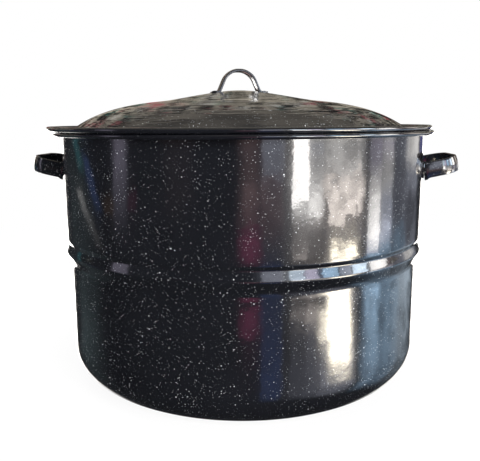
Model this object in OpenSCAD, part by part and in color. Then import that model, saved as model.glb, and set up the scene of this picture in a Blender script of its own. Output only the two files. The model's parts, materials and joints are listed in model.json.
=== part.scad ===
// Enamelled water-bath canner: a stepped pot with two strap handles, a domed lid,
// and a wire rack that holds eight jars around one.
// Millimetres, +Z up. The origin is the middle of the base, and the side handles lie along X.

/* [Pot] */
// Outer radius of the upper wall
pot_r = 198; // [165:1:240]
// Height of the pot, from the base to the top of its rolled rim
pot_h = 268.8; // [220:0.1:330]
// Thickness of the enamelled sheet
wall = 1.0; // [0.8:0.1:1.6]
// How far the lower wall stands in from the upper wall
step_in = 3.8; // [2.5:0.1:6]
// Radius between the lower wall and the base
corner_r = 38; // [20:1:45]
// How far the rolled rim stands out from the upper wall
rim_out = 9.8; // [8:0.1:14]
// Thickness of the rolled rim
rim_d = 4.6; // [3.6:0.1:6]

/* [Swaged bead round the wall] */
// Height of the crease above the bead
bead_z = 153; // [110:1:180]
// Height of the bead below its crease
bead_h = 22; // [16:1:30]
// How far the bead stands out from the upper wall
bead_out = 0.8; // [0.4:0.1:2]
// Depth of the crease in the upper wall
crease_in = 1.5; // [0.5:0.1:2]

/* [Side handles] */
// Distance between the outer faces of a handle's two legs
handle_w = 84; // [70:1:110]
// Reach of the grip from the wall
handle_reach = 39.5; // [34:0.5:55]
// Radius of the corners between the legs and the grip
handle_corner = 25; // [12:1:30]
// Distance from the top of the rim down to the middle of the feet
handle_drop = 42.5; // [35:0.5:90]
// How far the handle tilts up
handle_tilt = 12; // [0:1:20]
// Width of the strap
handle_strap = 17; // [14:0.5:20]

/* [Lid] */
// Height of the lid's crown above its rolled edge
dome_h = 41; // [30:0.5:60]
// Radius of the shallow waist between the crown and the shoulder
waist_r = 90; // [75:1:110]
// Height of the waist above the rolled edge
waist_h = 28.4; // [20:0.2:40]
// How far the lid's rolled edge stands out past the pot's rim
lid_over = 1.4; // [0:0.1:4]
// Thickness of the lid's rolled edge
lid_edge_d = 5; // [4:0.1:6]
// Clear space round the lid's locating gutter in the mouth
lid_play = 4.6; // [2:0.1:6]
// Depth of the gutter below the lid's flange
gutter_h = 7.6; // [6:0.2:12]
// How far to one side the lid sits
lid_shift = 3.6; // [0:0.1:4]
// How far the lid is turned from the side handles
lid_turn = 15; // [-90:1:90]

/* [Lid handle] */
// Outer radius of the arch
arch_r = 24.4; // [20:0.1:35]
// Width of the strap
arch_strap = 17; // [12:0.5:20]
// Length of each welded foot
arch_foot = 9; // [6:0.5:14]

/* [Straps] */
// Thickness of the strap steel
strap_t = 1.8; // [1.2:0.1:2.4]
// How far the middle of a strap is bowed out past its edges
strap_bow = 2; // [0.5:0.1:3]
// Length of each welded foot of a side handle
strap_foot = 13; // [8:1:20]

/* [Rack] */
// Diameter of a jar
jar_d = 95; // [75:1:115]
// Clear space between a jar and the top ring
jar_gap = 1.3; // [1:0.1:4]
// Clear space between the top ring and the pot's lower wall
rack_gap = 8.7; // [7.5:0.1:20]
// Height of the top ring above the bottom of the rack
rack_h = 75; // [60:1:110]
// Diameter of the ring wire
ring_d = 5; // [4:0.1:6]
// Diameter of the divider and hub wire
wire_d = 4; // [3:0.1:5]
// Distance between the two rings under a jar
foot_span = 40; // [30:1:55]
// Radius of the inner ring, under the middle jar
inner_r = 30; // [22:1:40]
// Distance from the middle of the rack to each cross wire
cross_x = 14; // [8:1:18]
// Radius of each divider's outer bottom bend
divider_bend = 30; // [15:1:35]

/* [Rack handles] */
// Distance between the middles of a rack handle's two legs
bail_w = 80; // [60:1:96]
// Diameter of the handle wire
bail_d = 5; // [4:0.1:6]
// Clear space round the top ring in each eye
eye_gap = 1.5; // [1.2:0.1:2]
// Length of the shelf that hooks over the pot's rim
shelf = 30; // [22:1:40]

/* [Hidden] */
$fn = 96;

enamel = [0.07, 0.07, 0.10];
bright_wire = [0.78, 0.79, 0.80];

seat_gap = 0.3;           // between pieces that rest on each other and come apart
weld = 0.1;               // how far crossing wires sink into each other
snug = 0.05;              // between a hook and the ring that it is bent round
dividers = 8;

base_r = pot_r - step_in;
mouth_r = pot_r - wall;
rim_r = pot_r + rim_out;
rim_z = pot_h - rim_d / 2;
neck_r = 4;
handle_z = pot_h - handle_drop;

lid_r = rim_r + lid_over;
lid_z = pot_h + seat_gap + lid_edge_d / 2;
lid_top = lid_z + wall / 2;
gutter_r = mouth_r - lid_play - wall;
gutter_w = 4.4;
dome_foot = [gutter_r - gutter_w - 3.5, lid_z - 1.2];
crown_z = lid_z + dome_h;

rack_z = wall + seat_gap;
low_z = rack_z + wire_d / 2;
rings_z = rack_z + wire_d + ring_d / 2 - weld;
top_z = rack_z + rack_h;
top_r = base_r - wall - rack_gap - ring_d / 2;
jars_r = top_r - ring_d / 2 - jar_gap - jar_d / 2;
hub_r = jar_d / 2 + 6.5;
hub_hook = wire_d + snug;
top_hook = (ring_d + wire_d) / 2 + snug;
hub_bend = 10;

eye_r = (ring_d + bail_d) / 2 + eye_gap;
pivot_x = sqrt(pow(top_r, 2) - pow(bail_w / 2, 2));
rest_x = sqrt(pow(hub_r, 2) - pow(bail_w / 2, 2));
bail_over = 9;
bail_len = pivot_x - rest_x + bail_over;
bail_drop = atan((eye_r - (bail_d + wire_d) / 2 - seat_gap) / (pivot_x - rest_x));
shelf_bend = 8;
grip_bend = 12;
eye_wrap = 270;

// Points on the arc of radius r that rounds the corner p, between a and b
function round_corner(a, p, b, r, steps = 10) =
    let(u = (a - p) / norm(a - p), v = (b - p) / norm(b - p), half = acos(u * v) / 2,
        c = p + (u + v) / norm(u + v) * r / sin(half),
        from = p + u * r / tan(half) - c, to = p + v * r / tan(half) - c,
        start = atan2(from.y, from.x),
        sweep = (atan2(to.y, to.x) - start + 540) % 360 - 180)
    [for (i = [0:steps]) c + r * [cos(start + sweep * i / steps), sin(start + sweep * i / steps)]];

// A line through corners, each [point, radius]
function rounded(corners) =
    [for (i = [0:len(corners) - 1]) let(p = corners[i][0], r = corners[i][1])
        each (r == 0 ? [p] : round_corner(corners[i - 1][0], p, corners[i + 1][0], r))];

// Points that ease from a to b, leaving and arriving straight up
function eased(a, b, steps = 8) =
    [for (i = [1:steps]) [a.x + (b.x - a.x) * (1 - cos(180 * i / steps)) / 2,
                          a.y + (b.y - a.y) * i / steps]];

// Points on a cubic curve from a to d, pulled towards b and c
function curve(a, b, c, d, steps = 12) =
    [for (i = [0:steps]) let(t = i / steps, s = 1 - t)
        s * s * s * a + 3 * s * s * t * b + 3 * s * t * t * c + t * t * t * d];

// A sheet of thickness t on the left of a line, seen along the line, and not past the axis
function sheet(line, t) = let(last = len(line) - 1)
    concat(line, [for (i = [last:-1:0])
        let(along = line[min(i + 1, last)] - line[max(i - 1, 0)],
            p = line[i] + t * [-along.y, along.x] / norm(along))
        [max(p.x, 0), p.y]]);

// Outer face of the pot, from the middle of the base to the rolled rim
crease = [pot_r - crease_in, bead_z];
bulge = [pot_r + bead_out, bead_z - 0.24 * bead_h];
pot_line = concat(
    rounded([[[0, 0], 0], [[base_r, 0], corner_r], [[base_r, bead_z - bead_h], 0]]),
    eased([base_r, bead_z - bead_h], bulge), eased(bulge, crease, 6),
    eased(crease, [pot_r, bead_z + 5], 6),
    rounded([[[pot_r, bead_z + 6], 0], [[pot_r, rim_z - wall / 2], neck_r],
             [[rim_r - rim_d / 2, rim_z - wall / 2], 0]]));

// Top face of the dome, from the crown to the shoulder's foot
dome_line = concat(
    curve([0, crown_z], [0.29 * waist_r, crown_z],
          [0.72 * waist_r, lid_z + waist_h + 2.8], [waist_r, lid_z + waist_h]),
    [for (i = [1:18]) curve([waist_r, lid_z + waist_h], [waist_r + 46, lid_z + waist_h - 4],
          [dome_foot.x - 20.5, dome_foot.y + 15], dome_foot, 18)[i]]);
lid_line = concat([for (i = [0:len(dome_line) - 2]) dome_line[i]],
    rounded([[dome_foot, 0], [[gutter_r - gutter_w, lid_top - gutter_h], 2.5],
             [[gutter_r, lid_top - gutter_h], 2], [[gutter_r, lid_top], 3],
             [[lid_r - lid_edge_d / 2, lid_top], 0]]));

module pot_body() color(enamel) {
    rotate_extrude() polygon(sheet(pot_line, wall));
    rotate_extrude() translate([rim_r - rim_d / 2, rim_z]) circle(d = rim_d);
}

// Section of a strap: x is outwards from the loop, and y runs across the strap
module strap_section(w) {
    face = [for (i = [-4:4]) [-strap_bow * pow(i / 4, 2), w / 2 * i / 4]];
    polygon(concat(face, [for (i = [8:-1:0]) face[i] - [strap_t, 0]]));
}

// One leg and half the grip, which lies along y
module half_strap() {
    leg = handle_reach - handle_corner;
    inside_wall = 12;
    translate([-inside_wall, handle_w / 2, 0]) rotate([90, 0, 90])
        linear_extrude(leg + inside_wall) strap_section(handle_strap);
    translate([leg, handle_w / 2 - handle_corner, 0]) rotate_extrude(angle = 90)
        translate([handle_corner, 0]) strap_section(handle_strap);
    translate([handle_reach, 0, 0]) rotate([90, 0, 0]) mirror([0, 0, 1])
        linear_extrude(handle_w / 2 - handle_corner) strap_section(handle_strap);
}

// Welded foot, turned in along the wall from a leg
module wall_foot() {
    outer = asin((handle_w / 2 - strap_bow / 2) / pot_r);
    inner = asin((handle_w / 2 - strap_foot) / pot_r);
    rotate([0, 0, inner]) rotate_extrude(angle = outer - inner)
        translate([pot_r - 5, handle_z - handle_strap / 2]) square([strap_t + 5, handle_strap]);
}

module side_handle() color(enamel) difference() {
    union() {
        for (side = [0, 1]) mirror([0, side, 0]) {
            translate([pot_r, 0, handle_z]) rotate([0, -handle_tilt, 0]) half_strap();
            wall_foot();
        }
    }
    translate([0, 0, handle_z - 40]) cylinder(r = pot_r, h = 80);
}

module lid_place() translate([-lid_shift, 0, 0]) rotate([0, 0, lid_turn]) children();

module lid_shell() color(enamel) lid_place() {
    rotate_extrude() polygon(sheet(lid_line, -wall));
    rotate_extrude() translate([lid_r - lid_edge_d / 2, lid_z]) circle(d = lid_edge_d);
}

module dome_solid(lift) rotate_extrude() translate([0, lift])
    polygon(concat(dome_line, [[dome_foot.x, lid_z - 30], [0, lid_z - 30]]));

module lid_handle() color(enamel) lid_place() difference() {
    union() {
        translate([0, 0, crown_z]) rotate([90, 0, 0]) rotate_extrude(angle = 180)
            translate([arch_r, 0]) strap_section(arch_strap);
        for (side = [0, 1]) mirror([side, 0, 0]) {
            translate([arch_r, 0, crown_z]) rotate([180, 0, 0])
                linear_extrude(8) strap_section(arch_strap);
            intersection() {
                dome_solid(strap_t);
                translate([arch_r - strap_t, -arch_strap / 2, crown_z - 15])
                    cube([arch_foot + strap_t, arch_strap, 20]);
            }
        }
    }
    dome_solid(0);
}

// Round wire, drawn straight along z; what follows it starts at its end
module run(length, d) {
    cylinder(h = length, d = d);
    translate([0, 0, length]) children();
}

// Round wire, bent from z towards +x, or towards -x at a negative angle
module bend(r, angle, d) {
    flip = angle < 0 ? 180 : 0;
    turn = abs(angle);
    rotate([0, 0, flip]) {
        translate([r, 0, 0]) rotate([90, 0, 0]) rotate([0, 0, 180 - turn])
            rotate_extrude(angle = turn) translate([r, 0]) circle(d = d);
        translate([r, 0, 0]) rotate([0, turn, 0]) translate([-r, 0, 0])
            rotate([0, 0, flip]) children();
    }
}

module wire_ring(r, z, d) color(bright_wire) rotate_extrude() translate([r, z]) circle(d = d);

// Wire between two jars: over the hub ring, down, along the bottom, up and over the top ring
module rack_divider(place) {
    inner = hub_r + hub_hook;
    outer = top_r - top_hook;
    color(bright_wire) rotate([0, 0, (place - 0.5) * 360 / dividers])
        translate([hub_r - hub_hook, 0, top_z])
        bend(hub_hook, 180, wire_d)
        run(top_z - low_z - hub_bend, wire_d)
        bend(hub_bend, -90, wire_d)
        run(outer - divider_bend - inner - hub_bend, wire_d)
        bend(divider_bend, -90, wire_d)
        run(top_z - low_z - divider_bend, wire_d)
        bend(top_hook, 180, wire_d);
}

module rack_cross_wire(x) {
    base_ring = jars_r + foot_span / 2;
    half = sqrt(pow(base_ring, 2) - pow(x, 2)) + 3.5;
    color(bright_wire) translate([x, -half, low_z]) rotate([-90, 0, 0])
        cylinder(h = 2 * half, d = wire_d);
}

// Rack handle, folded in over the hub ring, with its eyes round the top ring
module rack_handle() color(bright_wire)
    translate([pivot_x, 0, top_z]) rotate([0, -bail_drop, 0])
    translate([-eye_r, bail_w / 2, 0]) rotate([180, 0, 0])
    bend(eye_r, eye_wrap, bail_d)
    run(bail_len - shelf_bend, bail_d)
    bend(shelf_bend, -90, bail_d)
    run(shelf - shelf_bend - grip_bend, bail_d)
    rotate([0, 0, 90]) bend(grip_bend, 90, bail_d)
    run(bail_w - 2 * grip_bend, bail_d)
    bend(grip_bend, 90, bail_d) rotate([0, 0, -90])
    run(shelf - shelf_bend - grip_bend, bail_d)
    bend(shelf_bend, -90, bail_d)
    run(bail_len - shelf_bend, bail_d)
    bend(eye_r, eye_wrap, bail_d);

pot_body();
rotate([0, 0, 180]) side_handle();  // side_handle_left
side_handle();  // side_handle_right
lid_shell();
lid_handle();
wire_ring(top_r, top_z, ring_d);  // rack_top_ring
wire_ring(jars_r + foot_span / 2, rings_z, ring_d);  // rack_base_ring
wire_ring(jars_r - foot_span / 2, rings_z, ring_d);  // rack_support_ring
wire_ring(inner_r, rings_z, ring_d);  // rack_inner_ring
wire_ring(hub_r, top_z, wire_d);  // rack_hub_ring
for (place = [1:dividers])
    rack_divider(place);
rack_cross_wire(-cross_x);  // rack_cross_wire_left
rack_cross_wire(cross_x);  // rack_cross_wire_right
rotate([0, 0, 180]) rack_handle();  // rack_handle_left
rack_handle();  // rack_handle_right
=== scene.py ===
# %% [markdown]
# # An enamelled water-bath canner
#
# A canner is a tall steel pot with a loose domed lid, two strap handles and a wire rack for jars.
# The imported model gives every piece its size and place. This script gives each one its real surface,
# and it starts by loading that model as a fixed frame to build on.

# %% Load the frame
import json
from math import asin, ceil, cos, pi, radians, sin, sqrt, tan

import bmesh
import bpy
from mathutils import Matrix, Vector
from mathutils.geometry import interpolate_bezier

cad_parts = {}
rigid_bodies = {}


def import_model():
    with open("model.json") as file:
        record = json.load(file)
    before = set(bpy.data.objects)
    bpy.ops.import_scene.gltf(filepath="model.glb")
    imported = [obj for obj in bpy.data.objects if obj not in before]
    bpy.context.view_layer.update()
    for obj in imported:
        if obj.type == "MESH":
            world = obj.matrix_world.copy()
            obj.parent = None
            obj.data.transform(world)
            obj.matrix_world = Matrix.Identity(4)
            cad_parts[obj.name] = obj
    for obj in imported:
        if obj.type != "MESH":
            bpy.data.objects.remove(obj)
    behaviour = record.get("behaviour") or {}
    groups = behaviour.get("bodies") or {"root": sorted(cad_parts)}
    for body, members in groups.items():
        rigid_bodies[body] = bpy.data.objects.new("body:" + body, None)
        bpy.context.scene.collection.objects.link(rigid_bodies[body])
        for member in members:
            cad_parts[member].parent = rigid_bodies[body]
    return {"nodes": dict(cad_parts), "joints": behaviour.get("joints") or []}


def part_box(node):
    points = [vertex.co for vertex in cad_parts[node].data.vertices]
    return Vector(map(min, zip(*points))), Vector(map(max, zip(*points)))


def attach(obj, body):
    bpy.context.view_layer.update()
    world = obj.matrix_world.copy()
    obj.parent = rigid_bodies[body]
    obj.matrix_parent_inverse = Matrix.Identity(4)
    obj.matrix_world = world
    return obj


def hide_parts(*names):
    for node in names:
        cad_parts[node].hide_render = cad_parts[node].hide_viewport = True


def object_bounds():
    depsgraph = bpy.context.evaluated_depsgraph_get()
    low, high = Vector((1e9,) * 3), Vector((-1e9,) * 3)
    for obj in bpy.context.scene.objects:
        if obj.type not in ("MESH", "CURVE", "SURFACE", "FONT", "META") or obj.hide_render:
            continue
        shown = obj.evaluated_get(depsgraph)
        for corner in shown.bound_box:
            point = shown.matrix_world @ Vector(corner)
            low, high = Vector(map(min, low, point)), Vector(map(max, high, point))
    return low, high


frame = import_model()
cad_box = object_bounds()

mm = 0.001
scene = bpy.context.scene
print("frame loaded:", len(frame["nodes"]), "nodes")

# %% [markdown]
# ## Sizes
#
# Outer sizes are read from the frame, so a piece always fits what it stands for. The few sizes that a
# box can't tell, such as a sheet's thickness, are named here once and used everywhere.

# %% Sizes of the pot and the lid
sheet = 1.0 * mm
rim_reach = 9.8 * mm
wall_step = 3.8 * mm
rim_d = 4.6 * mm
lid_edge_d = 5.0 * mm
lid_gap = 0.3 * mm
lid_turn = radians(15)

pot_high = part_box("pot_body")[1]
rim_r = pot_high.x
pot_h = pot_high.z
pot_r = rim_r - rim_reach
base_r = pot_r - wall_step
lid_low, lid_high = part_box("lid_shell")
lid_x = (lid_low.x + lid_high.x) / 2
lid_r = (lid_high.x - lid_low.x) / 2
lid_z = pot_h + lid_gap + lid_edge_d / 2
crown_z = lid_high.z
print(f"pot {2 * pot_r / mm:.0f} x {pot_h / mm:.0f} mm, lid {2 * lid_r / mm:.0f} mm across")

# %% [markdown]
# ## Camera
#
# The camera stands close to the pot, just below the top of the lid, and looks down a little. So the
# lid is seen almost edge on, and the wall curves away strongly on both sides. The colours are shown
# with the Standard transform, which keeps a white floor white.

# %% Camera
eye_out = 697 * mm
eye_side = radians(3.84)
eye_below_crown = 33 * mm
look_side = radians(4.1)
look_down = radians(10.3)
tilt = radians(-0.28)
lens_length = 45.47

eye = Vector((eye_out * sin(eye_side), -eye_out * cos(eye_side), crown_z - eye_below_crown))
camera_data = bpy.data.cameras.new("camera")
camera_data.sensor_width = 36
camera_data.lens = lens_length
camera = bpy.data.objects.new("camera", camera_data)
camera.matrix_world = (Matrix.Translation(eye) @ Matrix.Rotation(look_side, 4, "Z")
                       @ Matrix.Rotation(pi / 2 - look_down, 4, "X") @ Matrix.Rotation(tilt, 4, "Z"))
scene.collection.objects.link(camera)
scene.camera = camera
scene.view_settings.view_transform = "Standard"
print("camera at", [round(c, 3) for c in eye])


# %% [markdown]
# ## Node helper
#
# Every finish here is a small node tree. One helper adds a node, sets its options and fills its inputs,
# either with a value or with another node's output. That keeps a material readable as a list of steps.

# %% Node helper
def node(tree, kind, inputs=None, **options):
    """Adds a shader node; each input takes a value or another node's output."""
    made = tree.nodes.new("ShaderNode" + kind)
    for name, value in options.items():
        setattr(made, name, value)
    for name, value in (inputs or {}).items():
        if isinstance(value, bpy.types.NodeSocket):
            tree.links.new(value, made.inputs[name])
        else:
            made.inputs[name].default_value = value
    return made


def maths(tree, operation, a, b):
    """One sum on two numbers, as an output that other nodes can read."""
    return node(tree, "Math", {0: a, 1: b}, operation=operation).outputs[0]


def empty_tree(owner):
    """Gives a material or the world an empty node tree."""
    owner.use_nodes = True
    owner.node_tree.nodes.clear()
    return owner.node_tree


# %% [markdown]
# ## Studio
#
# Gloss black enamel shows almost nothing but what it reflects. A product studio therefore works with
# cards: bright or tinted sheets around the set, each drawing one clean streak. The floor and the
# backdrop are plain white and hidden from reflections, so the dark room stays dark in the enamel.
# Soft area lights, also hidden from reflections, light the white specks.

# %% Stage objects
def stage_object(name, bm, material, camera_sees=False, diffuse_sees=False, gloss_sees=False):
    """Makes a stage object and says which rays see it."""
    data = bpy.data.meshes.new(name)
    bm.to_mesh(data)
    bm.free()
    data.materials.append(material)
    made = bpy.data.objects.new(name, data)
    scene.collection.objects.link(made)
    made.visible_camera = camera_sees
    made.visible_diffuse = diffuse_sees
    made.visible_glossy = gloss_sees
    made.visible_transmission = False
    made.visible_shadow = False


# %% Floor and backdrop
floor_near = 0.25
floor_far = 1.1
glow_near = 0.93


def floor_white():
    """Mostly glow, with a share of matt white near the pot that keeps a faint shadow."""
    material = bpy.data.materials.new("floor_white")
    tree = empty_tree(material)
    place = node(tree, "TexCoord").outputs["Object"]
    away = node(tree, "VectorMath", {0: place}, operation="LENGTH").outputs["Value"]
    glowing = node(tree, "MapRange", {"Value": away, "From Min": floor_near, "From Max": floor_far,
                                      "To Min": glow_near}, interpolation_type="SMOOTHSTEP")
    matt = node(tree, "BsdfDiffuse", {"Color": (0.9, 0.9, 0.9, 1)})
    glow = node(tree, "Emission", {"Color": (1, 1, 1, 1), "Strength": 1.0})
    both = node(tree, "MixShader", {0: glowing.outputs[0], 1: matt.outputs[0], 2: glow.outputs[0]})
    node(tree, "OutputMaterial", {"Surface": both.outputs[0]})
    return material


def backdrop_white():
    """Even white behind everything."""
    material = bpy.data.materials.new("backdrop_white")
    tree = empty_tree(material)
    glow = node(tree, "Emission", {"Color": (1, 1, 1, 1), "Strength": 1.0})
    node(tree, "OutputMaterial", {"Surface": glow.outputs[0]})
    return material


room = 7.0
round_room = 64
ground = bmesh.new()
bmesh.ops.create_circle(ground, cap_ends=True, radius=room, segments=round_room)
stage_object("floor", ground, floor_white(), camera_sees=True, diffuse_sees=True)
around = bmesh.new()
bmesh.ops.create_uvsphere(around, u_segments=round_room, v_segments=round_room // 2,
                          radius=room * 0.99)
stage_object("backdrop", around, backdrop_white(), camera_sees=True)
print("floor and backdrop,", room, "m to the wall")


# %% Soft lights for the specks
light_aim = Vector((0, 0, 0.15))


def soft_light(name, place, size, watts):
    """A big square light aimed at the pot, left out of the reflections."""
    data = bpy.data.lights.new(name, "AREA")
    data.size = size
    data.energy = watts
    lamp = bpy.data.objects.new(name, data)
    turn = (light_aim - Vector(place)).to_track_quat("-Z", "Y").to_matrix().to_4x4()
    lamp.matrix_world = Matrix.Translation(place) @ turn
    lamp.visible_glossy = False
    scene.collection.objects.link(lamp)


soft_light("key", (1.1, -1.6, 1.1), 1.2, 80)
soft_light("fill", (-1.7, -1.2, 0.6), 1.2, 32)
soft_light("top", (0, 0.2, 1.9), 1.6, 36)
soft_light("back_right", (1.4, 1.7, 0.8), 1.2, 26)
soft_light("back_left", (-1.5, 1.6, 0.8), 1.2, 26)
world = bpy.data.worlds.new("dim_room")
scene.world = world
world_tree = empty_tree(world)
dim = node(world_tree, "Background", {"Color": (0.58, 0.60, 0.68, 1), "Strength": 0.028})
node(world_tree, "OutputWorld", {"Surface": dim.outputs[0]})

# %% [markdown]
# ## Reflection cards
#
# A ready-made picture of a room would reflect well too, but its streaks can't be placed one by one. So
# each streak gets a card: a tall curved strip on one big cylinder round the pot. It spans two bearings,
# seen from the pot with 0 towards the camera and + to the right. Its glow changes with level, through
# stops that each hold a level in metres, a colour and a strength. Low levels draw on the lower wall,
# because a wall seen from above reflects what lies below it. Levels above 0.4 m draw on the bead.
# Feathered sides and a little noise keep a streak from looking cut out. The cards are clear apart from
# their glow, so where two overlap their light adds up and neither hides the other.

# %% Card finish
raggedness = 0.35
squash = 5


def card_material(name, stops, feather, clutter, sway):
    """A glow that follows (level, colour, strength) stops, with ragged sides and dark clutter."""
    material = bpy.data.materials.new(name)
    tree = empty_tree(material)
    place = node(tree, "TexCoord").outputs["Object"]
    flat = node(tree, "VectorMath", {0: place, 1: (1, 1, squash)}, operation="MULTIPLY").outputs[0]
    ragged = node(tree, "TexNoise", {"Vector": flat, "Scale": 3.0, "Detail": 4.0})
    bent = maths(tree, "SUBTRACT", ragged.outputs[0], 0.5)
    across = node(tree, "SeparateXYZ", {0: node(tree, "UVMap").outputs[0]}).outputs[0]
    across = maths(tree, "ADD", across, maths(tree, "MULTIPLY", bent, raggedness))
    edge = maths(tree, "MINIMUM", across, maths(tree, "SUBTRACT", 1.0, across))
    fade = node(tree, "MapRange", {"Value": edge, "From Max": feather},
                interpolation_type="SMOOTHSTEP").outputs[0]
    low, high = stops[0][0], stops[-1][0]
    level = node(tree, "SeparateXYZ", {0: place}).outputs[2]
    level = maths(tree, "ADD", level, maths(tree, "MULTIPLY", bent, sway))
    share = node(tree, "MapRange", {"Value": level, "From Min": low, "From Max": high}).outputs[0]
    ramp = node(tree, "ValToRGB", {"Fac": share})
    ramp.color_ramp.interpolation = "EASE"
    peak = max(strength for _, _, strength in stops)
    for height, _, _ in stops[1:-1]:
        ramp.color_ramp.elements.new((height - low) / (high - low))
    for point, (_, colour, strength) in zip(ramp.color_ramp.elements, stops):
        point.color = (*(c * strength / peak for c in colour), 1)
    shapes = node(tree, "TexNoise", {"Vector": flat, "Scale": 2.2, "Detail": 5.0, "Roughness": 0.6})
    open_share = node(tree, "MapRange", {"Value": shapes.outputs[0], "From Min": 0.40, "From Max": 0.54,
                                         "To Min": 1.0 - clutter}).outputs[0]
    fade = maths(tree, "MULTIPLY", maths(tree, "MULTIPLY", fade, open_share), peak)
    glow = node(tree, "Emission", {"Color": ramp.outputs[0], "Strength": fade})
    clear_film = node(tree, "BsdfTransparent", {"Color": (1, 1, 1, 1)})
    added = node(tree, "AddShader", {0: glow.outputs[0], 1: clear_film.outputs[0]})
    node(tree, "OutputMaterial", {"Surface": added.outputs[0]})
    return material


# %% Card
card_r = 2.5
card_foot = -2.4
card_rows = 12
column_turn = 4
black = (0, 0, 0)


def card(name, bearing, stops, feather=0.25, clutter=0.3, sway=0.12, lean=0.0):
    """A curved strip between two bearings in degrees; lean shifts its top to the right.

    A strip that reaches below -1 m fades out on the way down to its foot.
    """
    if stops[0][0] < -1:
        stops = [(card_foot, black, 0), *stops]
    bm = bmesh.new()
    columns = max(2, ceil(abs(bearing[1] - bearing[0]) / column_turn))
    bmesh.ops.create_grid(bm, x_segments=columns, y_segments=card_rows, size=0.5, calc_uvs=True)
    layer = bm.loops.layers.uv.verify()
    for face in bm.faces:
        for loop in face.loops:
            loop[layer].uv = (loop.vert.co.x + 0.5, loop.vert.co.y + 0.5)
    low, high = stops[0][0], stops[-1][0]
    for vert in bm.verts:
        share, rise = vert.co.x + 0.5, vert.co.y + 0.5
        turn = radians(bearing[0] + (bearing[1] - bearing[0]) * share + lean * (rise - 0.5))
        vert.co = (card_r * sin(turn), -card_r * cos(turn), low + (high - low) * rise)
    stage_object(name, bm, card_material(name, stops, feather, clutter, sway), gloss_sees=True)


def plain(colour, *levels):
    """Stops of one colour from (level, strength) pairs."""
    return [(level, colour, strength) for level, strength in levels]


def card_count():
    """How many things only reflections see so far."""
    return sum(1 for o in scene.objects if o.visible_glossy and not o.visible_camera)


# %% Colours of the cards
white = (1.0, 0.97, 0.94)
warm = (1.0, 0.90, 0.83)
cream = (1.0, 0.90, 0.72)
lilac = (0.80, 0.74, 0.95)
sky = (0.50, 0.74, 1.0)
pale_blue = (0.72, 0.86, 1.0)
slate = (0.80, 0.84, 1.0)
navy = (0.22, 0.38, 1.0)
ruby = (1.0, 0.16, 0.42)
umber = (1.0, 0.66, 0.66)
amber = (1.0, 0.55, 0.2)
violet = (0.35, 0.38, 1.0)
teal = (0.2, 0.9, 1.0)
pale_teal = (0.66, 0.92, 0.95)

# %% Cards in front and to the right
card("cloth", (-1, 17), [(-1.0, black, 0), (-0.80, black, 0), (-0.73, ruby, 0.7), (-0.62, ruby, 0.8),
                         (-0.57, black, 0), (-0.44, ruby, 0.5), (-0.32, ruby, 1.0),
                         (-0.22, ruby, 0.5), (-0.18, umber, 0.5), (-0.06, umber, 0.9),
                         (0.06, umber, 0.4), (0.20, umber, 0.5), (0.34, umber, 0.3)], feather=0.45)
card("grey_sheet", (13, 28), [(-1.1, navy, 0.5), (-0.60, navy, 0.3), (-0.48, navy, 0.2),
                              (-0.34, slate, 0.2), (-0.20, umber, 0.4), (-0.04, umber, 0.6),
                              (0.06, slate, 1.2), (0.34, slate, 1.8), (0.5, slate, 2.2),
                              (1.25, slate, 2.2)], feather=0.15)
card("window_frame", (25, 33), plain(white, (-1.1, 0.1), (-0.72, 0.1), (-0.50, 0.3), (-0.34, 0.3),
                                     (-0.14, 0.15), (-0.03, 0.5), (0.34, 0.8), (1.25, 0.8)))
card("window", (31, 42), [(-1.1, slate, 0.4), (-0.74, slate, 0.3), (-0.65, warm, 1.7),
                          (-0.57, warm, 0.4), (-0.45, warm, 0.5), (-0.38, warm, 3.2),
                          (-0.30, warm, 1.2), (-0.20, warm, 0.7), (-0.12, white, 4.0),
                          (-0.07, white, 17), (0.12, white, 19), (0.19, warm, 9),
                          (0.34, white, 11)], feather=0.14)
card("window_slit", (40, 51), [(-1.1, slate, 0.6), (-0.76, slate, 0.6), (-0.66, warm, 3.4),
                               (-0.56, warm, 0.6), (-0.44, warm, 0.6), (-0.24, warm, 0.7),
                               (-0.18, warm, 2.0), (-0.12, white, 11), (-0.05, white, 5.5),
                               (0.04, white, 2.8), (0.34, slate, 3.4)])
card("wall", (48, 79), [(-1.1, slate, 1.2), (-1.0, slate, 1.4), (-0.56, slate, 1.2), (-0.40, warm, 1.6),
                        (-0.24, slate, 0.5), (-0.19, warm, 0.8), (-0.145, warm, 9.0),
                        (-0.08, warm, 9.5), (-0.01, warm, 7.0), (0.06, white, 4.2),
                        (0.24, white, 3.6), (0.34, white, 3.6)], feather=0.16, clutter=0.6, sway=0.30)
card("wall_low", (53, 76), [(-0.45, cream, 10), (-0.40, cream, 16), (-0.32, cream, 18), (-0.25, cream, 0)],
     feather=0.2, clutter=0.5, sway=0.20)
card("table", (47, 63), [(-0.84, cream, 0), (-0.76, cream, 9), (-0.68, cream, 11), (-0.60, cream, 0)],
     feather=0.4, clutter=0.2, sway=0.16)
card("table_far", (57, 78), [(-1.02, cream, 0), (-0.94, cream, 5), (-0.84, cream, 20), (-0.66, cream, 25),
                             (-0.50, cream, 16), (-0.44, cream, 0)], feather=0.3, clutter=0.1, lean=-9)
card("door", (80, 92), [(-0.44, sky, 3.0), (-0.34, slate, 5.0), (-0.24, white, 10), (-0.12, white, 6.5),
                        (-0.02, white, 2.8), (0.10, lilac, 1.5), (0.34, lilac, 1.6)], feather=0.2)
card("passage", (89, 104), [(-0.44, sky, 1.2), (-0.32, sky, 2.0), (-0.24, slate, 4.5), (-0.14, slate, 1.6),
                            (0.04, white, 1.8), (0.34, lilac, 2.6)], feather=0.3)
card("passage_dark", (96, 124), [(-0.44, sky, 0.6), (-0.30, sky, 0.8), (-0.18, slate, 0.35),
                                 (0.0, slate, 0.35), (0.34, slate, 0.6)], feather=0.4)
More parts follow.
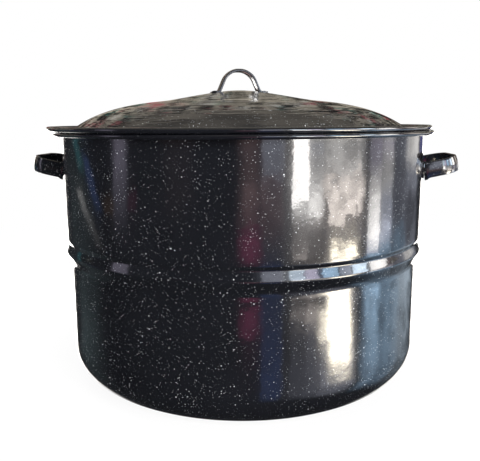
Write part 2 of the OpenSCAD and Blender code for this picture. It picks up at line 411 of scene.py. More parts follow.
card("plant", (114, 141), [(-0.44, slate, 0.4), (-0.12, slate, 0.15), (0.02, slate, 0.5),
                           (0.14, white, 1.4), (0.34, white, 1.4)])
card("night", (138, 152), plain(violet, (0.08, 0), (0.16, 0.25), (0.34, 0.25)))
card("floor_near", (77, 100), plain(sky, (-1.1, 1.4), (-0.74, 2.2), (-0.60, 4.0), (-0.44, 4.6)),
     feather=0.4, clutter=0.5)
card("floor_mid", (84, 124), plain(sky, (-1.1, 0.9), (-0.70, 1.3), (-0.44, 1.2)), feather=0.5, clutter=0.5)
card("floor_end", (102, 150), plain(pale_blue, (-1.1, 0.3), (-0.70, 0.7), (-0.44, 1.1)), feather=0.4,
     clutter=0.5)

# %% Cards that draw on the bead
for name, bearing, colour, strength in (
        ("high_blue", (30, 40), pale_blue, 8), ("high_lilac", (39, 49), lilac, 6),
        ("high_sky", (50, 61), sky, 7), ("high_grey", (61, 70), slate, 3.6),
        ("high_pane", (70, 82), pale_blue, 11), ("high_white", (83, 99), white, 9),
        ("high_beige", (108, 124), warm, 1.4), ("high_left", (-80, -66), lilac, 0.9)):
    card(name, bearing, plain(colour, (0.40, strength), (1.25, strength)), feather=0.15, sway=0.05)
print("cards in front and to the right:", card_count())

# %% Cards to the left
card("strip_left", (-77, -63), plain(lilac, (-0.30, 0.02), (-0.18, 0.18), (-0.06, 0.4), (0.10, 0.85),
                                     (0.34, 0.95)), feather=0.3, clutter=0.1, lean=3)
card("amber_left", (-86, -74), plain(amber, (-0.20, 0), (-0.12, 0.14), (-0.04, 0)), clutter=0.1)
card("magenta_left", (-66, -58), plain(ruby, (-0.16, 0), (-0.10, 0.16), (-0.02, 0)), clutter=0.1)
card("amber_front", (-46, -18), plain(umber, (-0.24, 0), (-0.05, 0.07), (0.34, 0.09)), feather=0.5)
card("streak_left", (-106, -95), plain(white, (-0.34, 0.1), (-0.24, 0.22), (-0.06, 0.5), (-0.03, 0)),
     feather=0.4, clutter=0.1, sway=0.02, lean=-26)
card("blue_left", (-101, -90), plain(navy, (-0.20, 0), (-0.10, 0.30), (0.08, 0.34), (0.16, 0)),
     feather=0.4, lean=-16)
card("teal_left", (-117, -106), plain(teal, (0.02, 0), (0.08, 0.16), (0.22, 0.16), (0.28, 0)),
     feather=0.4, lean=-14)
card("floor_left", (-134, -88), plain(pale_teal, (-1.1, 0.05), (-0.8, 0.10), (-0.48, 0.06),
                                      (-0.2, 0.05), (0.34, 0.02)), feather=0.4)
print("cards with those to the left:", card_count())

# %% [markdown]
# ## The far side of the room
#
# The lid is seen almost edge on, so it mirrors what stands behind it and what hangs above it. Two pale
# windows and two dull strips stand there, in front of a wall of shelves: half a cylinder, dim olive,
# with dark gaps and a few red, green and pale things. The ceiling is a disc with darker boards. Both
# patterns are noise, because on a curved lid they melt into streaks anyway.

# %% Cards behind the pot
card("far_window_right", (150, 163), plain(white, (-1.2, 1.5), (-0.2, 3.5), (0.20, 4.0), (0.32, 0)),
     feather=0.12)
card("far_strip", (168, 176), plain(slate, (-1.2, 0.6), (0.20, 1.2), (0.32, 0)))
card("far_cloth", (186, 200), plain(umber, (-1.2, 0.2), (-0.3, 0.8), (0.20, 0.6), (0.32, 0)))
card("far_window_left", (205, 221), plain(white, (-1.2, 1.5), (-0.6, 6.0), (0.20, 8.0), (0.32, 0)),
     feather=0.12)

# %% Shelves and ceiling
far_r = card_r + 0.1
shelf_low = 0.35
ceiling_z = 2.35
shelves_from = 0.3
olive = (0.64, 0.58, 0.47, 1)
brick = (0.55, 0.14, 0.16, 1)
bottle_green = (0.16, 0.36, 0.30, 1)
ivory = (0.95, 0.92, 0.85, 1)


def shelf_things():
    """Olive with a few coloured things, and dark gaps all over."""
    material = bpy.data.materials.new("shelves")
    tree = empty_tree(material)
    place = node(tree, "TexCoord").outputs["Object"]
    colour = olive
    for shift, tint, least in ((3.0, brick, 0.60), (8.0, bottle_green, 0.62), (14.0, ivory, 0.60)):
        moved = node(tree, "VectorMath", {0: place, 1: (shift, shift, shift)}, operation="ADD").outputs[0]
        spots = node(tree, "TexNoise", {"Vector": moved, "Scale": 3.2, "Detail": 2.0}).outputs[0]
        here = node(tree, "MapRange", {"Value": spots, "From Min": least, "From Max": least + 0.04})
        colour = node(tree, "MixRGB", {"Fac": here.outputs[0], "Color1": colour,
                                       "Color2": tint}).outputs[0]
    gaps = node(tree, "TexNoise", {"Vector": place, "Scale": 7.0, "Detail": 5.0}).outputs[0]
    glowing = node(tree, "MapRange", {"Value": gaps, "From Min": 0.47, "From Max": 0.54,
                                      "To Min": 0.02, "To Max": 0.75}).outputs[0]
    glow = node(tree, "Emission", {"Color": colour, "Strength": glowing})
    node(tree, "OutputMaterial", {"Surface": glow.outputs[0]})
    return material


def ceiling_boards():
    """Dim, slightly warm ceiling with darker boards."""
    material = bpy.data.materials.new("ceiling_grey")
    tree = empty_tree(material)
    place = node(tree, "TexCoord").outputs["Object"]
    boards = node(tree, "TexNoise", {"Vector": place, "Scale": 1.6, "Detail": 3.0}).outputs[0]
    glowing = node(tree, "MapRange", {"Value": boards, "From Min": 0.40, "From Max": 0.60,
                                      "To Min": 0.22, "To Max": 0.60}).outputs[0]
    glow = node(tree, "Emission", {"Color": olive, "Strength": glowing})
    node(tree, "OutputMaterial", {"Surface": glow.outputs[0]})
    return material


behind = bmesh.new()
bmesh.ops.create_cone(behind, segments=96, radius1=far_r, radius2=far_r, depth=ceiling_z - shelf_low,
                      matrix=Matrix.Translation((0, 0, (ceiling_z + shelf_low) / 2)))
bmesh.ops.delete(behind, geom=[v for v in behind.verts if v.co.y < shelves_from], context="VERTS")
stage_object("shelves", behind, shelf_things(), gloss_sees=True)

ceiling = bmesh.new()
bmesh.ops.create_circle(ceiling, cap_ends=True, radius=far_r, segments=48,
                        matrix=Matrix.Translation((0, 0, ceiling_z)))
stage_object("ceiling", ceiling, ceiling_boards(), gloss_sees=True)
print("cards, shelves and ceiling:", card_count())


# %% [markdown]
# ## Speckled enamel
#
# Speckleware is black glass fused to steel, with a second glaze shaken on in droplets. The droplets are
# round, mostly under a millimetre, uneven in size and brightness, and gather in drifts. Painted dots
# would blur from close by, so they are worked out: a Voronoi texture places one dot in each cell, its
# distance output draws the dot and its colour output gives that dot its own size and tone. Three cell
# sizes give specks, fainter dust and a few larger drops. A thin clear coat gives the glass its mirror
# gloss, and three soft bumps, from a hand's width down to a few millimetres, give the waviness of sheet
# and fired glass.

# %% Droplets
def specks(tree, place, cell, smallest, largest, gathered):
    """Round dots, one in a cell of that size, each with its own size and tone."""
    cells = node(tree, "TexVoronoi", {"Vector": place, "Scale": 1 / cell, "Randomness": 1.0})
    own = node(tree, "SeparateColor", {0: cells.outputs["Color"]}).outputs
    rare = maths(tree, "POWER", own[0], 2.0)
    size = node(tree, "MapRange", {"Value": rare, "To Min": smallest, "To Max": largest}).outputs[0]
    size = maths(tree, "MULTIPLY", size, gathered)
    inner = maths(tree, "MULTIPLY", size, 0.75)
    mask = node(tree, "MapRange", {"Value": cells.outputs["Distance"], "From Min": inner,
                                   "From Max": size, "To Min": 1.0, "To Max": 0.0},
                interpolation_type="SMOOTHSTEP").outputs[0]
    tone = node(tree, "MapRange", {"Value": own[1], "To Min": 0.25, "To Max": 1.0}).outputs[0]
    return maths(tree, "MULTIPLY", mask, tone)


# %% Waves and rings
def wavy(tree, place, layers):
    """Soft bumps, each (wavelength, height), one on another."""
    normal = None
    for length, height in layers:
        ripple = node(tree, "TexNoise", {"Vector": place, "Scale": 1 / length, "Detail": 1.5})
        inputs = {"Height": ripple.outputs[0], "Distance": height, "Strength": 1.0}
        if normal:
            inputs["Normal"] = normal
        normal = node(tree, "Bump", inputs).outputs[0]
    return normal


def rings_round(tree, place, centre_x, height, normal):
    """Shallow rings round a vertical axis, as spinning leaves on a drawn lid."""
    ring_gap = 9 * mm
    stray = 11 * mm
    stray_length = 45 * mm
    flat = node(tree, "VectorMath", {0: place, 1: (1, 1, 0)}, operation="MULTIPLY").outputs[0]
    flat = node(tree, "VectorMath", {0: flat, 1: (centre_x, 0, 0)}, operation="SUBTRACT").outputs[0]
    radius = node(tree, "VectorMath", {0: flat}, operation="LENGTH").outputs["Value"]
    loose = node(tree, "TexNoise", {"Vector": place, "Scale": 1 / stray_length}).outputs[0]
    radius = maths(tree, "ADD", radius, maths(tree, "MULTIPLY", loose, stray))
    rings = node(tree, "TexNoise", {"W": maths(tree, "DIVIDE", radius, ring_gap), "Scale": 1.0,
                                    "Detail": 2.0}, noise_dimensions="1D").outputs[0]
    return node(tree, "Bump", {"Height": rings, "Distance": height, "Strength": 1.0,
                               "Normal": normal}).outputs[0]


# %% Speckled enamel
# Droplets: size of the cells, smallest and largest radius as a share of a cell, brightness.
droplets = ((2.0 * mm, 0.085, 0.18, 1.0), (1.5 * mm, 0.07, 0.14, 0.35), (6 * mm, 0.06, 0.10, 1.0))
drift_length = 22 * mm
tint_length = 60 * mm
# Waves of the surface: wavelength and height.
skin_waves = ((70 * mm, 0.25 * mm), (18 * mm, 0.10 * mm), (4 * mm, 0.028 * mm))
black_glass = (0.0038, 0.0041, 0.0054, 1)
blue_black_glass = (0.0066, 0.0070, 0.0095, 1)
white_glaze = (0.80, 0.82, 0.84, 1)


def speckled_enamel(name, speck_share=1.0, ring_height=0.0):
    """Black glass with white droplets under a clear gloss; a lid also has spinning rings."""
    material = bpy.data.materials.new(name)
    tree = empty_tree(material)
    place = node(tree, "TexCoord").outputs["Object"]
    drift = node(tree, "TexNoise", {"Vector": place, "Scale": 1 / drift_length, "Detail": 2.0})
    gathered = node(tree, "MapRange", {"Value": drift.outputs[0], "From Min": 0.3, "From Max": 0.7,
                                       "To Min": 0.75, "To Max": 1.15}).outputs[0]
    dots = 0.0
    for cell, smallest, largest, brightness in droplets:
        layer = specks(tree, place, cell, smallest, largest, gathered)
        dots = maths(tree, "MAXIMUM", dots, maths(tree, "MULTIPLY", layer, brightness))
    dots = maths(tree, "MULTIPLY", dots, speck_share)
    slow = node(tree, "TexNoise", {"Vector": place, "Scale": 1 / tint_length, "Detail": 2.0})
    glass = node(tree, "MixRGB", {"Fac": slow.outputs[0], "Color1": black_glass,
                                  "Color2": blue_black_glass})
    colour = node(tree, "MixRGB", {"Fac": dots, "Color1": glass.outputs[0], "Color2": white_glaze})
    gloss = node(tree, "MapRange", {"Value": slow.outputs[0], "To Min": 0.10, "To Max": 0.22})
    skin = wavy(tree, place, skin_waves)
    if ring_height:
        skin = rings_round(tree, place, lid_x, ring_height, skin)
    shader = node(tree, "BsdfPrincipled", {
        "Base Color": colour.outputs[0], "Roughness": gloss.outputs[0], "IOR": 1.55,
        "Coat Weight": 1.0, "Coat Roughness": 0.02, "Coat IOR": 1.55,
        "Normal": skin, "Coat Normal": skin})
    node(tree, "OutputMaterial", {"Surface": shader.outputs[0]})
    return material


enamel = speckled_enamel("speckled_enamel")
edge_enamel = speckled_enamel("edge_enamel", speck_share=0.12)
lid_enamel = speckled_enamel("lid_enamel", ring_height=0.40 * mm)
print("finishes:", enamel.name, edge_enamel.name, lid_enamel.name)


# %% [markdown]
# ## Rack wire
#
# The rack is mild steel wire, welded and then nickel-chrome plated. Plating copies the drawn wire under
# it, so it is bright but not perfect: the gloss changes slowly and a fine grain breaks the highlights.

# %% Plated wire
cloud_length = 9 * mm
grain_length = 1.2 * mm
grain_height = 0.02 * mm
grey_nickel = (0.60, 0.61, 0.64, 1)
bright_chrome = (0.80, 0.80, 0.81, 1)


def plated_wire(name):
    """Bright plating over drawn wire."""
    material = bpy.data.materials.new(name)
    tree = empty_tree(material)
    place = node(tree, "TexCoord").outputs["Object"]
    cloudy = node(tree, "TexNoise", {"Vector": place, "Scale": 1 / cloud_length, "Detail": 4.0})
    colour = node(tree, "MixRGB", {"Fac": cloudy.outputs[0], "Color1": grey_nickel,
                                   "Color2": bright_chrome})
    gloss = node(tree, "MapRange", {"Value": cloudy.outputs[0], "From Min": 0.3, "From Max": 0.7,
                                    "To Min": 0.14, "To Max": 0.30})
    shader = node(tree, "BsdfPrincipled", {
        "Base Color": colour.outputs[0], "Roughness": gloss.outputs[0], "Metallic": 1.0,
        "Normal": wavy(tree, place, ((grain_length, grain_height),))})
    node(tree, "OutputMaterial", {"Surface": shader.outputs[0]})
    return material


wire_finish = plated_wire("plated_wire")
print("finish:", wire_finish.name)

# %% [markdown]
# ## Sheet-metal helpers
#
# The pot and the lid are pressed from sheet and are round. A cylinder could be pushed and bevelled into
# shape, but an outline that is turned round an axis stays perfectly round, which matters, because a
# gloss surface shows every facet. An outline is a few corners joined by edges, every corner rounded by
# a vertex bevel. It is spun a full turn and given its thickness with solidify. Long edges are first cut
# into short ones, because long thin faces next to a bend would shade in stripes.

# %% Outline
def outline(corners, closed=False, finest=radians(9)):
    """Edges through (x, y, z, radius) corners, each corner rounded to its radius by a vertex bevel."""
    bm = bmesh.new()
    verts = [bm.verts.new(corner[:3]) for corner in corners]
    line = verts + verts[:1] if closed else verts
    for pair in zip(line, line[1:]):
        bm.edges.new(pair)
    for i, corner in enumerate(corners):
        if corner[3]:
            back, here, ahead = (Vector(corners[k % len(corners)][:3]) for k in (i - 1, i, i + 1))
            turn = (here - back).angle(ahead - here)
            bmesh.ops.bevel(bm, geom=[verts[i]], offset=corner[3] * tan(turn / 2), profile=0.5,
                            segments=max(2, ceil(turn / finest)), affect="VERTICES", material=-1)
    return bm


def profile(corners, span=5 * mm):
    """An outline of (x, z, radius) corners to turn round Z, with its long edges cut into short ones."""
    bm = outline([(x, 0, z, r) for x, z, r in corners], finest=radians(7))
    for edge in bm.edges[:]:
        cuts = int(edge.calc_length() / span)
        if cuts:
            bmesh.ops.subdivide_edges(bm, edges=[edge], cuts=cuts)
    return bm


# %% Spin and wall
round_steps = 192


def turned(bm, thickness):
    """Spins an outline round Z and gives it a wall, on its other side if the thickness is negative."""
    bmesh.ops.spin(bm, geom=bm.verts[:] + bm.edges[:], cent=(0, 0, 0), axis=(0, 0, 1),
                   angle=2 * pi, steps=round_steps, use_merge=True)
    bmesh.ops.remove_doubles(bm, verts=bm.verts[:], dist=0.005 * mm)
    bmesh.ops.recalc_face_normals(bm, faces=bm.faces[:])
    bmesh.ops.solidify(bm, geom=bm.faces[:], thickness=-thickness)
    if bm.calc_volume(signed=True) < 0:
        bmesh.ops.reverse_faces(bm, faces=bm.faces[:])
    return bm


# %% Finished piece
def finished(name, bm, material, body, nodes=(), edge_material=None, on_edge=None):
    """Turns a bmesh into a piece that rides on a body and stands for its nodes.

    Faces whose middle passes on_edge get the edge material.
    """
    data = bpy.data.meshes.new(name)
    for face in bm.faces:
        face.smooth = True
        if on_edge and on_edge(face.calc_center_median()):
            face.material_index = 1
    bm.to_mesh(data)
    bm.free()
    data.materials.append(material)
    if edge_material:
        data.materials.append(edge_material)
    piece = bpy.data.objects.new(name, data)
    scene.collection.objects.link(piece)
    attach(piece, body)
    if nodes:
        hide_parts(*nodes)
    return piece


# %% [markdown]
# ## Pot
#
# The pot is one drawing: a flat base, a generous corner, a lower wall, a bead rolled into it at the
# step, a slightly wider upper wall, and a rim that is turned out and curled under. The bead swells out
# of the lower wall, is pinched in at a crease, and runs back out to the upper wall. The curl is three
# quarter turns. Enamel drains off sharp edges before it is fired, so the curl has fewer specks.

# %% Pot
base_round = 38 * mm
crease_z = 153 * mm
crease_r = pot_r - 1.8 * mm
bead_r = pot_r + 1.3 * mm
bead_z = crease_z - 9.5 * mm
swell_z = crease_z - 21 * mm
step_z = crease_z + 4 * mm
flange_z = pot_h - sheet
curl = rim_d / 2 - sheet
curl_x = rim_r - rim_d / 2
curl_from = pot_r + 4.5 * mm
pot_outline = profile([
    (0, 0, 0),
    (base_r, 0, base_round),
    (base_r, swell_z, 14 * mm),
    (bead_r, bead_z, 3.5 * mm),
    (crease_r, crease_z, 2 * mm),
    (pot_r, step_z, 5 * mm),
    (pot_r, flange_z, 4 * mm),
    (curl_x + curl, flange_z, curl),
    (curl_x + curl, flange_z - 2 * curl, curl),
    (curl_x - curl, flange_z - 2 * curl, curl),
    (curl_x - curl, flange_z - 0.9 * curl, 0)])
pot = finished("canner_pot", turned(pot_outline, sheet), enamel, "pot", ["pot_body"],
               edge_material=edge_enamel, on_edge=lambda p: p.xy.length > curl_from)
print("pot:", len(pot.data.polygons), "faces, top at", round(pot.bound_box[1][2] / mm, 1), "mm")

# %% [markdown]
# ## Lid
#
# The lid is pressed as a dome with a low crown and a broad shoulder. Round its foot a gutter drops into
# the pot's mouth and keeps the lid in place, then a flat flange runs out over the rim to a rolled edge.
# The dome is two Bezier stretches that meet at a waist; the rest is corners. The lid sits a little off
# centre, as a loose lid does.

# %% Dome of the lid
mouth_play = 4.6 * mm
gutter_w = 4.4 * mm
gutter_h = 7.6 * mm
gutter_r = pot_r - sheet - mouth_play - sheet
waist = Vector((90 * mm, 0, lid_z + 28.4 * mm))
dome_foot = Vector((gutter_r - gutter_w - 3.5 * mm, 0, lid_z - 1.2 * mm))
crown = interpolate_bezier((0, 0, crown_z), (26 * mm, 0, crown_z),
                           (65 * mm, 0, waist.z + 2.8 * mm), waist, 18)
shoulder = interpolate_bezier(waist, (136 * mm, 0, waist.z - 4 * mm),
                              (163 * mm, 0, dome_foot.z + 15 * mm), dome_foot, 26)
print("dome:", len(crown) + len(shoulder), "points, waist", round(2 * waist.x / mm), "mm across")

# %% Lid
lid_top = lid_z + sheet / 2
edge_in = lid_r - lid_edge_d
edge_end = edge_in + 0.4 * mm
edge_high = lid_z + lid_edge_d / 2
edge_low = lid_z - lid_edge_d / 2
edge_round = 2.4 * mm
lid_outline = profile([(p.x, p.z, 0) for p in crown[:-1] + shoulder] + [
    (gutter_r - gutter_w, lid_top - gutter_h, 2.2 * mm),
    (gutter_r, lid_top - gutter_h, 2 * mm),
    (gutter_r, lid_top, 3 * mm),
    (edge_in, lid_top, 1 * mm),
    (edge_in, edge_high, 0.9 * mm),
    (lid_r, edge_high, edge_round),
    (lid_r, edge_low, edge_round),
    (edge_end, edge_low, 1.6 * mm),
    (edge_end, lid_z - 0.9 * mm, 0)])
lid_bm = turned(lid_outline, -sheet)
bmesh.ops.translate(lid_bm, verts=lid_bm.verts[:], vec=(lid_x, 0, 0))
lid = finished("canner_lid", lid_bm, lid_enamel, "lid", ["lid_shell"],
               edge_material=edge_enamel,
               on_edge=lambda p: (p - Vector((lid_x, 0, p.z))).xy.length > edge_in - 0.5 * mm)
print("lid:", len(lid.data.polygons), "faces, top at", round(max(v.co.z for v in lid.data.vertices) / mm, 1))


# %% [markdown]
# ## Strap handles
#
# All three handles are steel strap, bowed across its width so that its edges turn away from the hand.
# A strap is one section carried along a bent line. The section is a closed outline; each step extrudes
# its edges and moves them to the next place on the line, which keeps the bow true round every bend.

# %% Strap section
strap_w = 17 * mm
strap_t = 1.8 * mm
strap_bow = 2.0 * mm
strap_bow_r = 26 * mm
strap_edge_r = 0.8 * mm
strap_finest = radians(6)


def strap_section(thick):
    """Closed section of a strap: x outwards, y across. Both faces are bowed and the edges are round."""
    half = strap_w / 2
    back = strap_bow + thick
    return outline([(-strap_bow, -half, 0, strap_edge_r), (0, 0, 0, strap_bow_r),
                    (-strap_bow, half, 0, strap_edge_r), (-back, half, 0, strap_edge_r),
                    (-thick, 0, 0, strap_bow_r), (-back, -half, 0, strap_edge_r)],
                   closed=True, finest=strap_finest)


# %% Sweep along a bent line
def line_points(bm):
    """The points of an open outline, in order; the outline itself is freed."""
    bmesh.ops.remove_doubles(bm, verts=bm.verts[:], dist=0.01 * mm)
    bm.verts.index_update()
    bm.verts.ensure_lookup_table()
    at = next(v for v in bm.verts if len(v.link_edges) == 1)
    points, used = [at.co.copy()], set()
    while True:
        ahead = [e for e in at.link_edges if e not in used]
        if not ahead:
            break
        used.add(ahead[0])
        at = ahead[0].other_vert(at)
        points.append(at.co.copy())
    bm.free()
    return points


def place_on(points, i, size=1.0):
    """The place of a section at point i of a line in the plane y = 0: x outwards, y across."""
    along = (points[min(i + 1, len(points) - 1)] - points[max(i - 1, 0)]).normalized()
    across = Vector((0, 1, 0))
    turn = Matrix((along.cross(across), across, along)).transposed().to_4x4()
    return Matrix.Translation(points[i]) @ turn @ Matrix.Scale(size, 4)


def swept(section, points, sizes):
    """Carries a closed section along a line, sized at each point, and closes both ends."""
    rim = section.edges[:]
    bmesh.ops.transform(section, matrix=place_on(points, 0, sizes[0]), verts=section.verts[:])
    for i in range(1, len(points)):
        made = bmesh.ops.extrude_edge_only(section, edges=rim)["geom"]
        fresh = {g for g in made if isinstance(g, bmesh.types.BMVert)}
        rim = [g for g in made if isinstance(g, bmesh.types.BMEdge) and fresh.issuperset(g.verts)]
        step = place_on(points, i, sizes[i]) @ place_on(points, i - 1, sizes[i - 1]).inverted()
        bmesh.ops.transform(section, matrix=step, verts=list(fresh))
    bmesh.ops.holes_fill(section, edges=section.edges[:])
    bmesh.ops.recalc_face_normals(section, faces=section.faces[:])
    return section


# %% Weld lump
def nugget(bm, place, across, tall):
    """A low round weld lump, with its height along the place's z."""
    lump = bmesh.ops.create_icosphere(bm, subdivisions=2, radius=1)["verts"]
    bmesh.ops.scale(bm, vec=(across / 2, across / 2, tall), verts=lump)
    bmesh.ops.transform(bm, matrix=place, verts=lump)


# %% [markdown]
# ## Side handles
#
# Each side handle is a loop that leans up a little, so that fingers fit between it and the hot wall.
# Its legs flare where the enamel fills the corner at the wall, and two feet, turned inwards and spot
# welded, hold it. A foot is a rounded rectangle spun round the pot's own axis, so it lies on the wall.

# %% Feet of the side handles
half_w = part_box("side_handle_right")[1].y
grip_z = pot_h - 42.5 * mm
foot_half = strap_w / 2 - 0.4 * mm
foot_sunk = 0.5 * mm
foot_start = asin((half_w - 13 * mm) / pot_r)
foot_stop = asin((half_w - 1.5 * mm) / pot_r)
weld_levels = (-4 * mm, 4 * mm)


def foot_plate(bm, side):
    """One foot, spun from its own end to just inside the leg, with two spot welds."""
    back_r = pot_r - foot_sunk
    face_r = pot_r + strap_t
    plate = outline([(back_r, 0, grip_z - foot_half, 0), (face_r, 0, grip_z - foot_half, 1 * mm),
                     (face_r, 0, grip_z + foot_half, 1 * mm), (back_r, 0, grip_z + foot_half, 0)],
                    closed=True)
    bmesh.ops.rotate(plate, verts=plate.verts[:], matrix=Matrix.Rotation(side * foot_start, 3, "Z"))
    bmesh.ops.spin(plate, geom=plate.verts[:] + plate.edges[:], cent=(0, 0, 0), axis=(0, 0, side),
                   angle=foot_stop - foot_start, steps=8)
    bmesh.ops.holes_fill(plate, edges=plate.edges[:])
    bmesh.ops.recalc_face_normals(plate, faces=plate.faces[:])
    turn = Matrix.Rotation(side * (foot_start + foot_stop) / 2, 4, "Z")
    for level in weld_levels:
        at = Matrix.Translation((face_r, 0, grip_z + level))
        nugget(plate, turn @ at @ Matrix.Rotation(pi / 2, 4, "Y"), 4.6 * mm, 0.5 * mm)
    data = bpy.data.meshes.new("foot")
    plate.to_mesh(data)
    plate.free()
    bm.from_mesh(data)
    bpy.data.meshes.remove(data)


# %% Side handles
reach = 39.5 * mm
loop_round = 25 * mm
lean_up = radians(12)
# Flare of a leg: distance from the wall and size of the section there.
flare = ((-3.0 * mm, 1.20), (0.3 * mm, 1.16), (0.9 * mm, 1.08), (1.8 * mm, 1.03), (3.2 * mm, 1.0))


def side_handle(turn):
    """A strap loop with its two feet, turned round the pot to its side."""
    grow = [size for _, size in flare]
    leg_in = [(-half_w, 0, height, 0) for height, _ in flare]
    leg_out = [(half_w, 0, height, 0) for height, _ in reversed(flare)]
    bend = [(-half_w, 0, reach, loop_round), (half_w, 0, reach, loop_round)]
    points = line_points(outline(leg_in + bend + leg_out, finest=strap_finest))
    sizes = grow + [1.0] * (len(points) - 2 * len(grow)) + grow[::-1]
    bm = swept(strap_section(strap_t), points, sizes)
    stand = Matrix(((0, 0, 1), (1, 0, 0), (0, 1, 0))).to_4x4()
    bmesh.ops.transform(bm, verts=bm.verts[:], matrix=Matrix.Translation((pot_r, 0, grip_z))
                        @ Matrix.Rotation(-lean_up, 4, "Y") @ stand)
    for side in (-1, 1):
        foot_plate(bm, side)
    bmesh.ops.rotate(bm, verts=bm.verts[:], matrix=Matrix.Rotation(turn, 3, "Z"))
    return bm


for name, turn in (("right", 0), ("left", pi)):
    grip = finished(f"canner_grip_{name}", side_handle(turn), enamel, "pot",
                    [f"side_handle_{name}"])
    print(grip.name, "reaches", round(max(abs(v.co.x) for v in grip.data.vertices) / mm, 1), "mm")

# %% [markdown]
# ## Lid handle
#
# The lid's handle is a thicker strap bent into an arch, with its legs leaning in and its feet turned
# out on the crown. The feet follow the dome, whose height is read off the lid's own outline, and they
# are pressed flat, so that they lie down on it.

# %% Height of the dome
def dome_at(radius):
    """Height of the dome's top face at a distance from the lid's axis."""
    for a, b in zip(crown, crown[1:]):
        if a.x <= radius <= b.x:
            return a.z + (b.z - a.z) * (radius - a.x) / (b.x - a.x)
    raise ValueError("that radius is outside the crown")


toe_x = 32 * mm
print("dome is", round((crown_z - dome_at(toe_x)) / mm, 1), "mm lower under the handle's toes")

# %% Lid handle
arch_t = 2.6 * mm
arch_h = cad_box[1][2] - crown_z
arch_leg = 24.4 * mm
arch_top_x = 14.6 * mm
arch_round = 20 * mm
foot_lift = strap_t
heel = (arch_leg + 0.8 * mm, foot_lift - 1.4 * mm)
heel_round = 3 * mm
toe_z = dome_at(toe_x) - crown_z + foot_lift
arch = line_points(outline([
    (-toe_x, 0, toe_z, 0), (-heel[0], 0, heel[1], heel_round),
    (-arch_top_x, 0, arch_h, arch_round), (arch_top_x, 0, arch_h, arch_round),
    (heel[0], 0, heel[1], heel_round), (toe_x, 0, toe_z, 0)], finest=strap_finest))
arch_bm = swept(strap_section(arch_t), arch, [1.0] * len(arch))
for vert in arch_bm.verts:
    pressed = min(max((abs(vert.co.x) - arch_leg) / heel_round, 0), 1)
    vert.co.z += pressed * strap_bow * (2 * vert.co.y / strap_w) ** 2
weld_x = toe_x - 4 * mm
weld_z = dome_at(weld_x) - crown_z + foot_lift - 0.2 * mm
for side in (-1, 1):
    for across in weld_levels:
        nugget(arch_bm, Matrix.Translation((side * weld_x, across, weld_z)), 4.0 * mm, 0.4 * mm)
bmesh.ops.transform(arch_bm, verts=arch_bm.verts[:], matrix=Matrix.Translation((lid_x, 0, crown_z))
                    @ Matrix.Rotation(lid_turn, 4, "Z"))
lid_grip = finished("canner_lid_handle", arch_bm, edge_enamel, "lid", ["lid_handle"])
print("lid handle top at", round(max(v.co.z for v in lid_grip.data.vertices) / mm, 1), "mm")

# %% [markdown]
# ## Jar rack
#
# The rack is all round wire, welded where wires cross. Rings are a circle spun round the axis. Bent
# wires are a line of corners, rounded like the outlines above but in three dimensions. A Skin modifier
# could thicken that line, but it makes square wire, so a curve's round bevel does it, which stays round
# through every bend. A divider hooks over the hub ring, dips to the floor of the rack, and rises to
# hook over the top ring. Two bends that share a short stretch are each rounded by nearly half of it,
# so that they don't quite meet.

# %% Rings
wire_sides = 16
ring_steps = 144


def ring_size(ring_name):
    """(radius, level, wire diameter) of a ring, from its box."""
    low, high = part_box(ring_name)
    wire = high.z - low.z
    return high.x - wire / 2, (low.z + high.z) / 2, wire


def ring(ring_name):
    """A closed ring of round wire."""
    radius, level, wire = ring_size(ring_name)
    stand = Matrix.Translation((radius, 0, level)) @ Matrix.Rotation(pi / 2, 4, "X")
    bm = bmesh.new()
    bmesh.ops.create_circle(bm, radius=wire / 2, segments=wire_sides, matrix=stand)
    bmesh.ops.spin(bm, geom=bm.verts[:] + bm.edges[:], cent=(0, 0, 0), axis=(0, 0, 1),
                   angle=2 * pi, steps=ring_steps, use_merge=True)
    bmesh.ops.recalc_face_normals(bm, faces=bm.faces[:])
    return bm


for ring_name in ("rack_top_ring", "rack_base_ring", "rack_support_ring", "rack_inner_ring",
                  "rack_hub_ring"):
    finished(ring_name + "_wire", ring(ring_name), wire_finish, "rack", [ring_name])
    print(ring_name, "is", round(2 * ring_size(ring_name)[0] / mm), "mm across")


# %% Bent wire
def bent_wire(corners, wire):
    """Round wire through (x, y, z, radius) corners, with closed ends."""
    points = line_points(outline(corners, finest=radians(10)))
    curve = bpy.data.curves.new("wire", "CURVE")
    curve.dimensions = "3D"
    curve.bevel_depth = wire / 2
    curve.bevel_resolution = 4
    curve.use_fill_caps = True
    spline = curve.splines.new("POLY")
    spline.points.add(len(points) - 1)
    for knot, point in zip(spline.points, points):
        knot.co = (*point, 1)
    holder = bpy.data.objects.new("wire", curve)
    scene.collection.objects.link(holder)
    shape = bpy.data.meshes.new_from_object(holder.evaluated_get(bpy.context.evaluated_depsgraph_get()))
    bm = bmesh.new()
    bm.from_mesh(shape)
    bpy.data.objects.remove(holder)
    bpy.data.meshes.remove(shape)
    bmesh.ops.remove_doubles(bm, verts=bm.verts[:], dist=0.005 * mm)
    bmesh.ops.recalc_face_normals(bm, faces=bm.faces[:])
    return bm


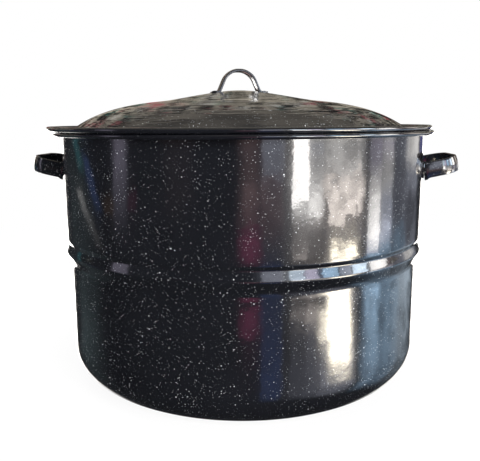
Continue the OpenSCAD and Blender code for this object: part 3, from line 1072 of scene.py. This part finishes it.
# %% Dividers
top_r, top_z, top_d = ring_size("rack_top_ring")
hub_r, _, wire_d = ring_size("rack_hub_ring")
low_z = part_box("rack_divider_1")[0].z + wire_d / 2
hook_gap = 0.05 * mm
hub_hook = wire_d + hook_gap
top_hook = (top_d + wire_d) / 2 + hook_gap
nearly = 0.99
dividers = [n for n in frame["nodes"] if n.startswith("rack_divider_")]
bearings = [(i + 0.5) * 2 * pi / len(dividers) for i in range(len(dividers))]
for number, bearing in enumerate(bearings, 1):
    bm = bent_wire([
        (hub_r - hub_hook, 0, top_z, 0),
        (hub_r - hub_hook, 0, top_z + hub_hook, nearly * hub_hook),
        (hub_r + hub_hook, 0, top_z + hub_hook, nearly * hub_hook),
        (hub_r + hub_hook, 0, low_z, 10 * mm),
        (top_r - top_hook, 0, low_z, 30 * mm),
        (top_r - top_hook, 0, top_z + top_hook, nearly * top_hook),
        (top_r + top_hook, 0, top_z + top_hook, nearly * top_hook),
        (top_r + top_hook, 0, top_z, 0)], wire_d)
    bmesh.ops.rotate(bm, verts=bm.verts[:], matrix=Matrix.Rotation(bearing, 3, "Z"))
    finished(f"rack_divider_{number}_wire", bm, wire_finish, "rack",
             [f"rack_divider_{number}"])
print(len(dividers), "dividers of", round(wire_d / mm, 1), "mm wire")

# %% Cross wires
for side in ("left", "right"):
    low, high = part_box(f"rack_cross_wire_{side}")
    middle = (low + high) / 2
    bm = bent_wire([(middle.x, low.y, middle.z, 0), (middle.x, high.y, middle.z, 0)], wire_d)
    finished(f"rack_cross_wire_{side}_wire", bm, wire_finish, "rack",
             [f"rack_cross_wire_{side}"])
    print("cross wire", side, "is", round((high.y - low.y) / mm), "mm long")

# %% [markdown]
# ## Rack handles
#
# Each rack handle is one wire: an eye round the top ring, a leg, a shelf that hooks over the pot's rim,
# a grip, and back again. It swings on the ring, so it is built round the joint that the frame gives,
# with one half listed and the other half its mirror image. At rest its legs droop a little towards
# the middle of the rack.

# %% Rack handles
swing = {j["child"]: Vector(j["pos_m"]) for j in frame["joints"] if j["type"] == "hinge"}
bail_low, bail_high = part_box("rack_handle_right")
bail_d = 5 * mm
shelf = 30 * mm
droop = radians(0.689)
droop_reach = 0.43 * mm
pivot = swing["rack_handle_right"]
eye_half = pivot.z - bail_low.z - bail_d / 2
leg_y = bail_high.y - bail_d / 2
leg = pivot.x - bail_low.x - bail_d / 2 - droop_reach
eye_round = nearly * eye_half
half_bail = [(-eye_half, 0, 0), (-eye_half, -eye_half, eye_round), (eye_half, -eye_half, eye_round),
             (eye_half, eye_half, eye_round), (-leg, eye_half, 8 * mm), (-leg, eye_half + shelf, 12 * mm)]
bail_corners = ([(x, leg_y, z, r) for x, z, r in half_bail]
                + [(x, -leg_y, z, r) for x, z, r in half_bail[::-1]])
for name, turn in (("right", 0), ("left", pi)):
    bm = bent_wire(bail_corners, bail_d)
    bmesh.ops.transform(bm, verts=bm.verts[:], matrix=Matrix.Rotation(turn, 4, "Z")
                        @ Matrix.Translation(pivot) @ Matrix.Rotation(-droop, 4, "Y"))
    finished(f"rack_handle_{name}_wire", bm, wire_finish, f"rack_handle_{name}",
             [f"rack_handle_{name}"])
print("rack handles swing round", [round(c, 4) for c in pivot])

# %% [markdown]
# ## Rack welds
#
# Where two wires cross, resistance welding melts a small collar of metal between them. The wires could
# be merged there instead, but then none of them would stay whole. So each collar is a small icosphere
# pressed flat, and all of them are one piece, because they never come apart.

# %% Rack welds
weld_w = 5.2 * mm
weld_t = 1.3 * mm
cross_low, cross_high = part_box("rack_cross_wire_right")
cross_x = (cross_low.x + cross_high.x) / 2
crossings = []
for ring_name in ("rack_base_ring", "rack_support_ring"):
    radius = ring_size(ring_name)[0]
    crossings += [(radius * cos(bearing), radius * sin(bearing)) for bearing in bearings]
for ring_name in ("rack_base_ring", "rack_support_ring", "rack_inner_ring"):
    away_y = sqrt(ring_size(ring_name)[0] ** 2 - cross_x ** 2)
    crossings += [(x, y) for x in (-cross_x, cross_x) for y in (-away_y, away_y)]
welds = bmesh.new()
for x, y in crossings:
    nugget(welds, Matrix.Translation((x, y, low_z + wire_d / 2)), weld_w, weld_t)
finished("rack_welds", welds, wire_finish, "rack")
print("rack welds:", len(crossings))
